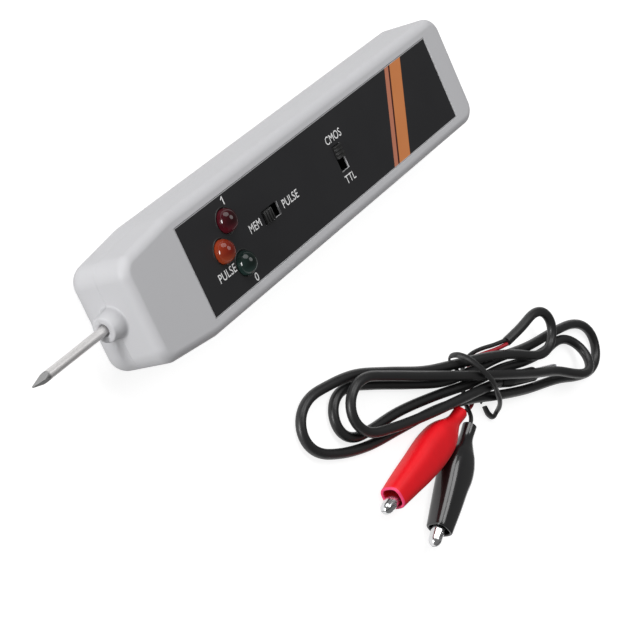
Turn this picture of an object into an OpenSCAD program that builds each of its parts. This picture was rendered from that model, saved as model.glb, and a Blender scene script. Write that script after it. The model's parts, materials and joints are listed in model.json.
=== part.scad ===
// Pen-type logic probe with its detachable power lead, for checking digital circuits.
// Millimetres. X runs across the probe, Y along it with the needle at -Y, and Z is up.
// The origin is under the middle of the probe, on the surface that it lies on.

/* [Case] */
// case width
case_w = 25.4; // [22:0.2:32]
// case height
case_h = 15.3; // [14.4:0.1:20]
// case length from the nose face to the rear face
case_len = 122.6; // [115:0.2:150]
// width of the nose face
nose_w = 21.6; // [17:0.2:25]
// length of the tapered front
taper_len = 16.3; // [8:0.1:24]
// radius of the upright corners
corner_r = 4; // [3:0.1:6]
// radius of the upper edges
top_r = 2; // [0.8:0.1:2.8]
// radius of the lower edges
bottom_r = 3.4; // [0.8:0.1:4.5]
// wall thickness
wall = 1.6; // [1.2:0.1:2]
// chamfer that shows as the line between the two shells
seam = 0.25; // [0.1:0.05:0.5]

/* [Nose and needle] */
// length of the boss round the needle
boss_len = 3.3; // [2:0.1:6]
// radius of the boss at its end
boss_r = 2.3; // [1.8:0.1:3]
// radius of the boss at the nose
boss_base_r = 3.1; // [2.4:0.1:4]
// radius of the needle
needle_r = 0.95; // [0.7:0.05:1.2]
// length of needle outside the boss
needle_out = 21.4; // [12:0.2:30]
// length of the ground point
point_len = 4.2; // [2:0.1:6]

/* [Front panel] */
// panel width
panel_w = 19.1; // [16:0.1:20]
// panel length
panel_len = 97.8; // [90:0.1:100]
// gap from the rear of the panel to the rear face
panel_rear = 7.6; // [6:0.1:12]
// panel thickness
panel_t = 0.5; // [0.3:0.05:0.8]

/* [Lamps] */
// radius of a lamp's lens
led_r = 2.45; // [1.5:0.05:2.6]
// height of the domes above the case
led_out = 2.4; // [1.5:0.1:2.9]
// lamp spacing to each side of the middle
led_dx = 4.6; // [4:0.1:6]
// upper and lower lamps, behind the front edge of the panel
led_y = 14; // [12:0.1:18]
// middle lamp, behind the front edge of the panel
led_mid_y = 9.7; // [6:0.1:10]

/* [Switches] */
// length of a switch knob along its travel
knob_len = 2.8; // [2:0.1:3.2]
// width of a switch knob
knob_w = 2.6; // [2:0.1:3]
// travel of a switch knob
knob_travel = 2.6; // [1.5:0.1:3]
// height of a knob above the case
knob_out = 0.5; // [0.2:0.1:1.5]
// mode switch, behind the front edge of the panel
mode_y = 27.2; // [25:0.1:30]
// logic family switch, behind the front edge of the panel
family_y = 54.3; // [50:0.1:60]

/* [Power socket and plug] */
// radius of the socket's bore
jack_r = 1.3; // [1:0.05:1.6]
// depth of the socket's bore
jack_depth = 11; // [8:0.5:13]
// radius of the socket's barrel
jack_body_r = 3; // [2.4:0.1:3.5]
// radius of the plug's pin
plug_pin_r = 1.25; // [0.9:0.05:1.3]
// radius of the plug's grip
plug_r = 1.75; // [1.5:0.05:1.8]

/* [Lead and clips] */
// radius of the lead's jacket
cord_r = 1.15; // [0.8:0.05:1.2]
// radius of each wire after the jacket ends
wire_r = 0.5; // [0.3:0.05:0.55]
// sheet thickness of the clips
sheet = 0.35; // [0.25:0.05:0.4]
// wall thickness of the clip boots
boot_t = 0.6; // [0.4:0.05:0.7]
// length of the red clip with its boot
red_clip_len = 37.4; // [34:0.2:40]
// length of the black clip with its boot
black_clip_len = 31.5; // [31.5:0.2:40]

/* [Hidden] */
$fn = 48;

// gap between pieces that fit together
fit = 0.1;

// stations along the probe
rear_y = (case_len + boss_len + needle_out) / 2;
nose_y = rear_y - case_len;
boss_y = nose_y - boss_len;
tip_y = boss_y - needle_out;
taper_y = nose_y + taper_len;
seam_z = case_h / 2;
roof = wall + panel_t + fit;
roof_z = case_h - roof;
panel_y = rear_y - panel_rear - panel_len;
mid_panel_y = panel_y + panel_len / 2;

// plan outline of the case, anticlockwise from the rear right corner
hw = case_w / 2;
nw = min(nose_w, case_w - 1) / 2;
plan = [[hw, rear_y], [-hw, rear_y], [-hw, taper_y], [-nw, nose_y], [nw, nose_y], [hw, taper_y]];
pn = len(plan);
function unit(v) = v / norm(v);
function along(i) = unit(plan[(i + 1) % pn] - plan[i % pn]);
function outward(i) = [along(i)[1], -along(i)[0]];
function bearing(i) = atan2(outward(i)[1], outward(i)[0]);
function turn(i) = (bearing(i) - bearing((i + pn - 1) % pn) + 720) % 360;
function inset(i) = let(a = outward(i + pn - 1), b = outward(i))
  plan[i % pn] - corner_r * (a + b) / (1 + a * b);
core = [for (i = [0 : pn - 1]) inset(i)];
upper_r = min(top_r, corner_r - 0.3, seam_z - seam - 1);
lower_r = min(bottom_r, corner_r - 0.3, seam_z - seam - 1);
// height of the tongue that joins the shells, which the needle's hole cuts through
tongue = needle_r - 0.15;
ferrule_r = 2;

// heights inside
board_t = 1.6;
board_z = seam_z - 1.2 - board_t;
board_top = board_z + board_t;
board_w = min(nose_w, case_w) - 2 * wall + 0.4;
board_y1 = rear_y - wall - jack_depth - 3.2;
lead_pitch = 2.54;
led_z = roof_z - 4;
led_top = case_h + led_out;
leds = [[-led_dx, panel_y + led_y], [0, panel_y + led_mid_y], [led_dx, panel_y + led_y]];
board_y0 = min(taper_y, leds[1][1] - 2 * lead_pitch);
wire_y = min(board_y0 + 2, leds[1][1] - lead_pitch / 2 - 1);
mode_pos = [0, panel_y + mode_y];
family_pos = [0, panel_y + family_y];
window_l = knob_len + knob_travel + 0.3;
window_w = knob_w + 0.3;
frame_l = window_l + 3.8;
frame_w = window_w + 2.1;
frame_t = 0.3;
switch_base_z = roof_z - 4.2;
switch_base_top = roof_z - 2;
// the chips lie between the two switches and behind the second one, and the small parts behind them
gate_y = (mode_pos[1] + family_pos[1]) / 2 + 1;
comparator_y = family_pos[1] + 13;
chip_z = board_top + 0.8;
chip_w = 6.4;
chip_t = 3.2;
gate_len = 17.6;
comparator_len = 9.8;
part_y = comparator_y + 8;

// route of the lead's jacket from its open end to its plug, on the surface beside the probe
lead_route = [[65, 66.2, 3.1], [64.3, 72.7, 4.7], [63.6, 77.1, 5.4], [64.8, 80.6, 5.6],
  [67.6, 82.4, 5.5], [70.7, 82.2, 5.1], [73.1, 80.1, 4.7], [73.9, 76.7, 4.4], [72.4, 72.6, 4.2],
  [68.6, 66.3, 4.3], [63.8, 56.3, 4.4], [60.1, 46.6, 3], [56.1, 36.2, 2.1], [49.2, 22.9, 2.2],
  [44, 12, 2.3], [42, 3.4, 1.9], [41.4, -2.3, 1.5], [42.7, -6.2, 1.3], [45.4, -8.4, 1.2],
  [49, -8.6, 1.2], [52.3, -6.4, 1.2], [55.2, -1.8, 1.3], [58.8, 7, 1.3], [61.9, 20.5, 1.3],
  [65.2, 35.1, 1.5], [68.5, 44.9, 2.4], [72.9, 54.5, 2.85], [78.4, 67.5, 1.6], [83.4, 81.9, 1.3],
  [87.3, 90.7, 1.3], [88.6, 95.6, 1.3], [87.8, 99.4, 1.3], [85.2, 101.7, 1.3], [81.8, 102.2, 1.3],
  [78.5, 100.4, 1.3], [76, 96.6, 1.3], [73.8, 89.4, 1.5], [70.9, 75.3, 1.5], [66.8, 61.5, 1.8],
  [63.7, 49.4, 2.9], [60.7, 39.1, 2.3], [55.7, 29.4, 1.4], [48.9, 16.9, 1.2], [45.9, 10.5, 1.2],
  [45.4, 6.4, 1.2], [47, 3.3, 1.2], [49.9, 2, 1.2], [53.2, 2.7, 1.2], [55.6, 5.6, 1.2],
  [56.8, 10.5, 1.2], [58.3, 20.5, 1.3], [62.1, 35.2, 1.6], [66.1, 48.4, 2.8], [69.1, 60.5, 2.4],
  [73.3, 72.8, 1.7], [75.3, 82.1, 1.6], [76, 88, 1.2], [77.7, 91.7, 1.4], [80.4, 93.4, 2.4],
  [83.3, 93.1, 3.8], [85.3, 90.9, 5.1], [85.5, 87.4, 5.8], [83.6, 83.6, 5.6], [79.9, 78.5, 4.9],
  [75.7, 69.8, 5.1], [68.8, 56.3, 5.6], [61.5, 42.8, 5.1], [54.1, 29.4, 4.4], [48.1, 18.5, 4.5],
  [45.5, 13.3, 4.6], [45.2, 9.2, 4.5], [46.9, 6.2, 4.2], [50, 4.8, 3.9], [53.4, 5.5, 3.8],
  [56.3, 8.3, 3.7], [58.5, 13.7, 3.8], [62.5, 26.3, 3.9], [66.1, 40.8, 4.8], [68.5, 49.9, 4.7],
  [71.7, 59, 1.9]];
plug_at = [71.7, 59, 1.9];
plug_dir = [0.36, 0.933, 0];
plug_len = 14;
plug_pin_len = 11;

// the two wires from the end of the jacket to the clips
red_route = [[65.5, 66, 3.1], [64.9, 62.5, 2.2], [63.9, 58.8, 1.2], [63.2, 55.5, 0.7], [63.8, 52.8, 0.52],
  [66, 51, 0.52], [69, 50, 0.52], [71.2, 48.2, 0.52], [71.4, 45.9, 0.52], [70.7, 43.7, 0.65],
  [69.8, 41.9, 1.7], [69.1, 40.5, 2.95]];
black_route = [[64.5, 66, 3.1], [63.7, 62.5, 2.2], [62.5, 58.5, 1.1], [61.9, 55, 0.6], [62.3, 51.5, 0.52],
  [64, 49, 0.52], [66.5, 47.6, 0.52], [69, 45.9, 0.6], [70.6, 44.6, 1.6], [71.9, 43.1, 2.75],
  [72.7, 41.6, 3.2]];

// strap round the bundle, with its loop standing out on the +X side
tie_route = [[72.4, 50.7, 1.28], [70.6, 50.2, 1.28], [67.6, 49.3, 1.28], [64.2, 48.1, 1.26],
  [60.6, 46.7, 1.2], [58.7, 45.8, 1.45], [57.6, 45.5, 2.4], [57.5, 45.6, 3.9], [58.6, 46.1, 5.6],
  [61.4, 47.3, 6.9], [64.8, 48.7, 7.4], [67.8, 50.2, 7.1], [70.6, 51.6, 5.8], [73.3, 53, 4.6],
  [75.6, 54.1, 2.8], [76.9, 54.3, 1.3], [77.5, 53.1, 0.8], [76.2, 51.8, 0.9], [73.6, 51, 1.25]];
// half thickness of the strap at each point, thin where it passes under the bundle
tie_t = [for (k = [0 : len(tie_route) - 1]) k < 6 || k > 16 ? 0.2 : 0.33];

// clips: where each tail is, the way that the jaws point and the side that its moving jaw is on
clip_z = 3.3;
red_tail = [68.9, 39.2];
red_dir = unit([0.083, -0.9965]);
red_side = -1;
black_tail = [73.1, 40.3];
black_dir = unit([0.436, -0.9]);
black_side = 1;

// clip shape, measured forward from the pivot
jaw_x = 14.5;
handle_x = -8.5;
handle_y = 2.4;
flange_z = 1.4;
pivot_r = 0.6;
pitch = 1;
teeth = 6;
// round front of the jaws: radius and place of its root, and of the rounded end
root_r = 1.9;
root_x = 2.6;
snout_r = 1.45;
snout_x = jaw_x - 1.6;
// torsion spring: a leg on each handle and two and a half turns round the pivot
spring_path = concat([[-6, 1.7, 0.4], [-3, 1.45, 0.4]],
  [for (k = [0 : 20]) let(a = 90 - k * 45) [0.98 * cos(a), 0.98 * sin(a), 0.4 - 0.8 * k / 20]],
  [[-3, -1.45, -0.4], [-6, -1.7, -0.4]]);

module upper_shell() {
  color([0.74, 0.74, 0.75])
    difference() {
      union() {
        translate([0, 0, case_h])
          rotate([0, 180, 0])
            half_shell(upper_r, case_h - seam_z, roof, tongue);
        boss(true);
      }
      translate([0, mid_panel_y, case_h - panel_t - fit + 5])
        cube([panel_w + 2 * fit, panel_len + 2 * fit, 10], center = true);
      for (p = leds)
        translate([p[0], p[1], seam_z])
          cylinder(h = 2 * case_h, r = led_r + 0.15);
      translate([mode_pos[0], mode_pos[1], roof_z])
        cube([window_w, window_l, 8], center = true);
      translate([family_pos[0], family_pos[1], roof_z])
        cube([window_l, window_w, 8], center = true);
      needle_hole();
      jack_hole();
    }
}

module lower_shell() {
  color([0.74, 0.74, 0.75])
    difference() {
      union() {
        half_shell(lower_r, seam_z, wall, -tongue);
        boss(false);
        // posts under the circuit board
        for (x = [-1, 1], y = [board_y0 + 6, board_y1 - 6])
          translate([x * (board_w / 2 - 3), y, wall - 0.5])
            cylinder(h = board_z - wall + 0.5, r = 2);
        // cradle for the needle's ferrule
        for (y = [0, 3.6])
          translate([-5, nose_y + wall + 1.4 + y, wall - 0.5])
            cube([10, 1.2, seam_z - wall]);
      }
      needle_hole();
      translate([0, nose_y + wall + 0.1, seam_z])
        rotate([-90, 0, 0])
          cylinder(h = 8, r = ferrule_r + 0.05);
      jack_hole();
    }
}

module face_panel() {
  color([0.13, 0.13, 0.14])
    difference() {
      translate([0, mid_panel_y, case_h - fit - panel_t / 2])
        cube([panel_w, panel_len, panel_t], center = true);
      for (p = leds)
        translate([p[0], p[1], 0])
          cylinder(h = 2 * case_h, r = led_r + 0.15);
      translate([mode_pos[0], mode_pos[1], case_h])
        cube([window_w, window_l, 10], center = true);
      translate([family_pos[0], family_pos[1], case_h])
        cube([window_l, window_w, 10], center = true);
    }
}

module high_lamp() {
  color([0.35, 0.05, 0.09])
    lamp(leds[0]);
}

module pulse_lamp() {
  color([0.75, 0.2, 0.05])
    lamp(leds[1]);
}

module low_lamp() {
  color([0.04, 0.16, 0.12])
    lamp(leds[2]);
}

module lamp_legs() {
  color([0.75, 0.75, 0.76])
    for (p = leds, s = [-1, 1])
      translate([p[0], p[1] + s * lead_pitch / 2, (board_top + led_z) / 2])
        cube([0.5, 0.5, led_z - board_top], center = true);
}

module mode_knob() {
  color([0.05, 0.05, 0.05])
    translate([mode_pos[0], mode_pos[1], 0])
      rotate([0, 0, 90])
        switch_knob();
}

module mode_frame() {
  color([0.7, 0.7, 0.72])
    translate([mode_pos[0], mode_pos[1], 0])
      rotate([0, 0, 90])
        switch_frame();
}

module mode_base() {
  color([0.45, 0.28, 0.14])
    translate([mode_pos[0], mode_pos[1], 0])
      rotate([0, 0, 90])
        switch_base();
}

module mode_pins() {
  color([0.75, 0.75, 0.76])
    translate([mode_pos[0], mode_pos[1], 0])
      rotate([0, 0, 90])
        switch_pins();
}

module family_knob() {
  color([0.05, 0.05, 0.05])
    translate([family_pos[0], family_pos[1], 0])
      switch_knob();
}

module family_frame() {
  color([0.7, 0.7, 0.72])
    translate([family_pos[0], family_pos[1], 0])
      switch_frame();
}

module family_base() {
  color([0.45, 0.28, 0.14])
    translate([family_pos[0], family_pos[1], 0])
      switch_base();
}

module family_pins() {
  color([0.75, 0.75, 0.76])
    translate([family_pos[0], family_pos[1], 0])
      switch_pins();
}

module circuit_board() {
  color([0.1, 0.35, 0.2])
    translate([-board_w / 2, board_y0, board_z])
      cube([board_w, board_y1 - board_y0, board_t]);
}

module gate_chip() {
  color([0.06, 0.06, 0.06])
    chip(gate_y, gate_len);
}

module comparator_chip() {
  color([0.06, 0.06, 0.06])
    chip(comparator_y, comparator_len);
}

module chip_pins() {
  color([0.75, 0.75, 0.76]) {
    chip_legs(gate_y, 7);
    chip_legs(comparator_y, 4);
  }
}

module resistors() {
  color([0.72, 0.6, 0.42])
    for (x = [-6, -2, 2])
      translate([x, part_y, board_top + 1.2])
        rotate([-90, 0, 0])
          cylinder(h = 5, r = 0.9);
}

module resistor_leads() {
  color([0.75, 0.75, 0.76])
    for (x = [-6, -2, 2], s = [0, 1]) {
      translate([x, part_y - 1.2 + s * 6.2, board_top + 1.2])
        rotate([-90, 0, 0])
          cylinder(h = 1.2, r = 0.25);
      translate([x, part_y - 1.2 + s * 7.4, board_top])
        cylinder(h = 1.2, r = 0.25);
    }
}

module capacitor() {
  color([0.1, 0.15, 0.35])
    translate([6, part_y + 2.5, board_top])
      cylinder(h = min(5.4, roof_z - board_top - 0.4), r = 2.4);
}

module transistors() {
  color([0.06, 0.06, 0.06])
    for (x = [-5, 0, 5])
      translate([x, leds[0][1] + 7.2, board_top + 1.2])
        difference() {
          cylinder(h = 4.2, r = 2.1);
          translate([-3, 1.2, -1])
            cube([6, 3, 8]);
        }
}

module transistor_legs() {
  color([0.75, 0.75, 0.76])
    for (x = [-5, 0, 5], s = [-1, 0, 1])
      translate([x + s * 1.1 - 0.2, leds[0][1] + 7, board_top])
        cube([0.4, 0.4, 1.2]);
}

module needle() {
  color([0.72, 0.72, 0.74])
    difference() {
      translate([0, tip_y, seam_z])
        rotate([-90, 0, 0])
          cylinder(h = nose_y - tip_y + wall + 9, r = needle_r);
      // four ground faces that meet at the point
      for (a = [45 : 90 : 315])
        translate([0, tip_y, seam_z])
          rotate([0, a, 0])
            translate([0, 0, 0.12])
              rotate([atan((needle_r - 0.12) / point_len), 0, 0])
                translate([-5, -5, 0])
                  cube([10, 30, 10]);
    }
}

module ferrule() {
  color([0.75, 0.6, 0.3])
    translate([0, nose_y + wall + 0.2, seam_z])
      rotate([-90, 0, 0])
        difference() {
          cylinder(h = 7.6, r = ferrule_r);
          translate([0, 0, -1])
            cylinder(h = 10, r = needle_r + 0.02);
        }
}

module needle_wire() {
  color([0.75, 0.75, 0.76]) {
    y0 = nose_y + wall + 9;
    y1 = wire_y;
    translate([0, y0, seam_z])
      rotate([-90, 0, 0])
        cylinder(h = y1 - y0, r = 0.4);
    translate([0, y1, board_top])
      cylinder(h = seam_z - board_top, r = 0.4);
    translate([0, y1, seam_z])
      sphere(r = 0.4);
  }
}

module power_socket() {
  color([0.06, 0.06, 0.06])
    translate([0, rear_y, seam_z])
      rotate([90, 0, 0])
        difference() {
          union() {
            cylinder(h = jack_depth + 2, r = jack_body_r);
            translate([0, 0, wall + fit])
              cylinder(h = 1.4, r = jack_body_r + 1);
          }
          translate([0, 0, -1])
            cylinder(h = jack_depth + 1, r = jack_r);
        }
}

module socket_lugs() {
  color([0.75, 0.75, 0.76]) {
    z = seam_z - 0.8;
    y = rear_y - jack_depth - 2;
    for (x = [-1.5, 1.5])
      translate([x - 0.6, y - 2.6, board_top])
        union() {
          translate([0, 0, z - board_top])
            cube([1.2, 2.6, 0.4]);
          cube([1.2, 0.4, z - board_top + 0.4]);
        }
  }
}

module lead_cable() {
  color([0.05, 0.05, 0.05])
    tube(lead_route, cord_r, cord_r, 8);
}

module red_wire() {
  color([0.7, 0.04, 0.08])
    tube(concat(red_route, clip_axis(red_tail, red_dir, red_clip_len)), wire_r, wire_r, 8);
}

module black_wire() {
  color([0.05, 0.05, 0.05])
    tube(concat(black_route, clip_axis(black_tail, black_dir, black_clip_len)), wire_r, wire_r, 8);
}

module lead_tie() {
  color([0.05, 0.05, 0.05])
    tube(tie_route, tie_t, 0.6, 8);
}

module plug_grip() {
  color([0.05, 0.05, 0.05])
    plug_place()
      difference() {
        union() {
          cylinder(h = 4, r1 = cord_r + 0.2, r2 = plug_r);
          translate([0, 0, 4])
            cylinder(h = plug_len - 4, r = plug_r);
        }
        translate([0, 0, plug_len - 3])
          cylinder(h = 4, r = plug_pin_r + 0.02);
      }
}

module plug_pin() {
  color([0.75, 0.75, 0.76])
    plug_place() {
      translate([0, 0, plug_len - 2.9])
        cylinder(h = plug_pin_len + 0.9, r = plug_pin_r);
      translate([0, 0, plug_len + plug_pin_len - 2])
        cylinder(h = 0.8, r1 = plug_pin_r, r2 = plug_pin_r * 0.7);
      translate([0, 0, plug_len + plug_pin_len - 1.2])
        cylinder(h = 1.2, r1 = plug_pin_r * 0.9, r2 = plug_pin_r * 0.4);
    }
}

module red_boot() {
  color([0.8, 0.06, 0.08])
    clip_place(red_tail, red_dir, red_clip_len, red_side)
      boot(red_clip_len);
}

module red_fixed_jaw() {
  color([0.78, 0.78, 0.8])
    clip_place(red_tail, red_dir, red_clip_len, red_side)
      fixed_jaw();
}

module red_moving_jaw() {
  color([0.78, 0.78, 0.8])
    clip_place(red_tail, red_dir, red_clip_len, red_side)
      moving_jaw();
}

module red_pivot() {
  color([0.7, 0.7, 0.72])
    clip_place(red_tail, red_dir, red_clip_len, red_side)
      pivot();
}

module red_spring() {
  color([0.6, 0.6, 0.62])
    clip_place(red_tail, red_dir, red_clip_len, red_side)
      spring();
}

module black_boot() {
  color([0.05, 0.05, 0.05])
    clip_place(black_tail, black_dir, black_clip_len, black_side)
      boot(black_clip_len);
}

module black_fixed_jaw() {
  color([0.78, 0.78, 0.8])
    clip_place(black_tail, black_dir, black_clip_len, black_side)
      fixed_jaw();
}

module black_moving_jaw() {
  color([0.78, 0.78, 0.8])
    clip_place(black_tail, black_dir, black_clip_len, black_side)
      moving_jaw();
}

module black_pivot() {
  color([0.7, 0.7, 0.72])
    clip_place(black_tail, black_dir, black_clip_len, black_side)
      pivot();
}

module black_spring() {
  color([0.6, 0.6, 0.62])
    clip_place(black_tail, black_dir, black_clip_len, black_side)
      spring();
}

// one shell, open at the top: rings round the plan, each [distance inside the outline, height]
module half_shell(r, h, floor_t, rim) {
  section = concat(
    [for (k = [0 : 8]) let(a = k * 90 / 8) [r - r * sin(a), r - r * cos(a)]],
    [[0, h - seam], [seam, h]],
    rim > 0 ?
      [[wall - 0.7, h], [wall - 0.7, h + rim], [wall, h + rim]] :
      [[wall - 0.7 - fit, h], [wall - 0.7 - fit, h + rim - fit], [wall, h + rim - fit]],
    [[wall, floor_t]]);
  skin([for (q = section) [for (p = plan_ring(corner_r - q[0])) [p[0], p[1], q[1]]]]);
}

// the plan's outline at a distance outside the corners' centres
function plan_ring(r) = [for (i = [0 : pn - 1])
  let(steps = max(1, round(turn(i) / 11.25)), b = bearing(i + pn - 1))
    for (k = [0 : steps]) core[i] + r * [cos(b + turn(i) * k / steps), sin(b + turn(i) * k / steps)]];

// half of the boss that holds the needle
module boss(upper) {
  intersection() {
    translate([0, nose_y, seam_z])
      rotate([90, 0, 0]) {
        cylinder(h = boss_len, r1 = boss_base_r, r2 = boss_r);
        cylinder(h = 0.7, r1 = boss_base_r + 0.8, r2 = boss_base_r - 0.1);
        translate([0, 0, -0.5])
          cylinder(h = 0.5, r = boss_base_r + 0.8);
      }
    translate([-10, nose_y - 20, upper ? seam_z : seam_z - 20])
      cube([20, 30, 20]);
  }
}

module needle_hole() {
  translate([0, boss_y - 1, seam_z])
    rotate([-90, 0, 0])
      cylinder(h = boss_len + wall + 2, r = needle_r + 0.05);
}

module jack_hole() {
  translate([0, rear_y + 1, seam_z])
    rotate([90, 0, 0])
      cylinder(h = wall + 2, r = jack_body_r + 0.05);
}

module lamp(p) {
  translate([p[0], p[1], led_z]) {
    cylinder(h = led_top - led_z - led_r, r = led_r);
    cylinder(h = 1, r = led_r + 0.45);
    translate([0, 0, led_top - led_z - led_r])
      sphere(r = led_r);
  }
}

// slide switch, with its travel along X and its knob at the -X end
module switch_knob() {
  translate([-knob_travel / 2, 0, 0])
    difference() {
      union() {
        translate([0, 0, (roof_z - frame_t - fit + switch_base_top + fit) / 2])
          cube([knob_len + 2, frame_w - 2 * frame_t - 0.4, roof_z - frame_t - switch_base_top - 2 * fit],
            center = true);
        translate([-knob_len / 2, -knob_w / 2, switch_base_top + 0.5])
          cube([knob_len, knob_w, case_h + knob_out - switch_base_top - 0.5]);
      }
      // finger ridges
      for (x = [-1, 0, 1])
        translate([x * knob_len / 3.4, 0, case_h + knob_out])
          cube([0.35, knob_w + 1, 0.5], center = true);
    }
}

module switch_frame() {
  difference() {
    translate([-frame_l / 2, -frame_w / 2, switch_base_z + 0.6])
      cube([frame_l, frame_w, roof_z - switch_base_z - 0.6]);
    translate([-frame_l / 2 - 1, -frame_w / 2 + frame_t, switch_base_z - 1])
      cube([frame_l + 2, frame_w - 2 * frame_t, roof_z - frame_t - switch_base_z + 1]);
    cube([window_l, window_w, 4 * case_h], center = true);
  }
}

module switch_base() {
  translate([-frame_l / 2, -frame_w / 2 + frame_t, switch_base_z])
    cube([frame_l, frame_w - 2 * frame_t, switch_base_top - switch_base_z]);
}

module switch_pins() {
  for (x = [-2.5, 0, 2.5])
    translate([x - 0.4, -0.2, board_top])
      cube([0.8, 0.4, switch_base_z - board_top]);
}

module chip(y, length) {
  translate([-chip_w / 2, y - length / 2, chip_z])
    difference() {
      cube([chip_w, length, chip_t]);
      translate([chip_w / 2, 0, chip_t - 0.4])
        cylinder(h = 1, r = 0.8);
    }
}

module chip_legs(y, count) {
  for (k = [0 : count - 1], s = [-1, 1])
    translate([s * (chip_w / 2 + 0.3), y + (k - (count - 1) / 2) * lead_pitch, 0])
      translate([-0.3, -0.3, board_top])
        cube([0.6, 0.6, chip_z - board_top + chip_t / 2]);
}

module plug_place() {
  translate(plug_at)
    rotate([0, 0, atan2(plug_dir[1], plug_dir[0])])
      rotate([0, 90, 0])
        children();
}

// puts a clip with its pivot at the origin where it lies, its jaws pointing along +X
module clip_place(tail, dir, length, side) {
  translate([tail[0] + dir[0] * (length - jaw_x), tail[1] + dir[1] * (length - jaw_x), clip_z])
    rotate([0, 0, atan2(dir[1], dir[0])])
      if (side < 0) mirror([0, 1, 0]) children();
      else children();
}

// the wire's way through a boot to its crimp
function clip_axis(tail, dir, length) =
  [for (t = [0, 2, length - jaw_x + handle_x - 3.2]) [tail[0] + dir[0] * t, tail[1] + dir[1] * t, clip_z]];

// section of the round front from its axis out, with its hollow
function front_points() = concat([[root_r, root_x]],
  [for (k = [0 : 4]) [snout_r * cos(k * 17), snout_x + (jaw_x - snout_x) * sin(k * 17) / sin(68)]],
  [[0, jaw_x], [0, jaw_x - sheet]],
  [for (k = [4 : -1 : 0])
    [(snout_r - sheet) * cos(k * 17), snout_x + (jaw_x - snout_x - sheet) * sin(k * 17) / sin(68)]],
  [[root_r - sheet, root_x]]);

// what is cut away on the other side of the line of teeth, where the jaws meet
function bite_points(phase) = concat([[30, -10], [30, 0.06]],
  [for (k = [0 : 2 * teeth - 1])
    [snout_x - (k + 0.5) * pitch / 2, 0.06 + phase * (k % 2 == 0 ? 0.2 : -0.2)]],
  [[snout_x - (teeth + 0.25) * pitch, 0.06], [-10, 0.06], [-10, -10]]);

// plan of a jaw's lugs at the pivot
function lug_points() = [[root_x + 1.6, 1], [root_x + 1.6, 1.55], [0, 1.9], [-2.5, 2], [-2.5, 0.8],
  [2.2, 0.8]];

// plan of a jaw's back, bent outward behind the pivot to make the handle
function back_points(t) = [[root_x + 1.6, 1.65 - t], [0, 1.9 - t], [handle_x, handle_y - t],
  [handle_x, handle_y], [0, 1.9], [root_x + 1.6, 1.65]];

module jaw(half_z, hole_r, phase) {
  difference() {
    rotate([0, 90, 0])
      rotate_extrude()
        polygon(front_points());
    translate([0, 0, -10])
      linear_extrude(20)
        polygon(bite_points(phase));
  }
  difference() {
    union() {
      for (s = [0, 1])
        translate([0, 0, s == 0 ? half_z - sheet : -half_z])
          linear_extrude(sheet) {
            polygon(lug_points());
            circle(1.4);
          }
      intersection() {
        translate([0, 0, -half_z])
          linear_extrude(2 * half_z)
            polygon(back_points(sheet));
        union() {
          translate([-2.5, -5, -half_z])
            cube([30, 10, 2 * half_z]);
          translate([-20, -5, -0.85])
            cube([30, 10, 1.7]);
        }
      }
    }
    cylinder(h = 20, r = hole_r, center = true);
  }
}

module moving_jaw() {
  jaw(flange_z - sheet - fit, pivot_r + 0.15, 1);
}

module fixed_jaw() {
  mirror([0, 1, 0])
    jaw(flange_z, pivot_r + 0.02, -1);
  // strip and crimp round the wire
  translate([0, 0, -0.85])
    linear_extrude(1.7)
      polygon([[handle_x, -handle_y], [handle_x - 1.6, -0.9], [handle_x - 1.6, -0.9 + sheet],
        [handle_x, -handle_y + sheet]]);
  translate([handle_x - 1.5, 0, 0])
    rotate([0, -90, 0])
      difference() {
        cylinder(h = 3, r = wire_r + 0.4);
        translate([0, 0, -1])
          cylinder(h = 5, r = wire_r + 0.05);
      }
}

module pivot() {
  cylinder(h = 2 * flange_z + 0.2, r = pivot_r, center = true);
  for (s = [0, 1])
    mirror([0, 0, s])
      translate([0, 0, flange_z + 0.05])
        cylinder(h = 0.3, r = pivot_r + 0.3);
}

module spring() {
  tube(spring_path, 0.14, 0.14, 6);
}

// soft sleeve over a clip: its stations along the clip, half width, half height and sideways shift
function boot_rings(length) = let(t = jaw_x - length) [[10, 2.8, 2.6, 0.35], [4, 3.35, 3, 0.2],
  [-1, 3.8, 3.2, 0], [t + 12.8, 4.2, 3.25, 0], [t + 10, 3.9, 3.15, 0], [t + 7.6, 3.3, 2.85, 0],
  [t + 5.6, 2.4, 2.3, 0], [t + 3.4, 1.7, 1.7, 0], [t, 1.65, 1.65, 0]];

module boot(length) {
  n = 20;
  stations = boot_rings(length);
  m = len(stations);
  outer = [for (q = stations, k = [0 : n - 1]) boot_point(q, k * 360 / n, 0)];
  inner = [for (q = stations, k = [0 : n - 1]) boot_point(q, k * 360 / n, boot_t)];
  side = [for (i = [0 : m - 2], k = [0 : n - 1], h = [0, 1])
    let(a = i * n + k, b = i * n + (k + 1) % n) h == 0 ? [a, b, b + n] : [a, b + n, a + n]];
  ends = [for (e = [0, 1], k = [0 : n - 1], h = [0, 1])
    let(a = e * (m - 1) * n + k, b = e * (m - 1) * n + (k + 1) % n, c = a + m * n, d = b + m * n)
      e == 0 ? (h == 0 ? [a, d, b] : [a, c, d]) : (h == 0 ? [a, b, d] : [a, d, c])];
  polyhedron(concat(outer, inner),
    concat(side, [for (f = side) [f[0] + m * n, f[2] + m * n, f[1] + m * n]], ends));
}

function boot_point(q, a, t) = [q[0], q[3] + (q[1] - t) * cos(a), (q[2] - t) * sin(a)];

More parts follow.
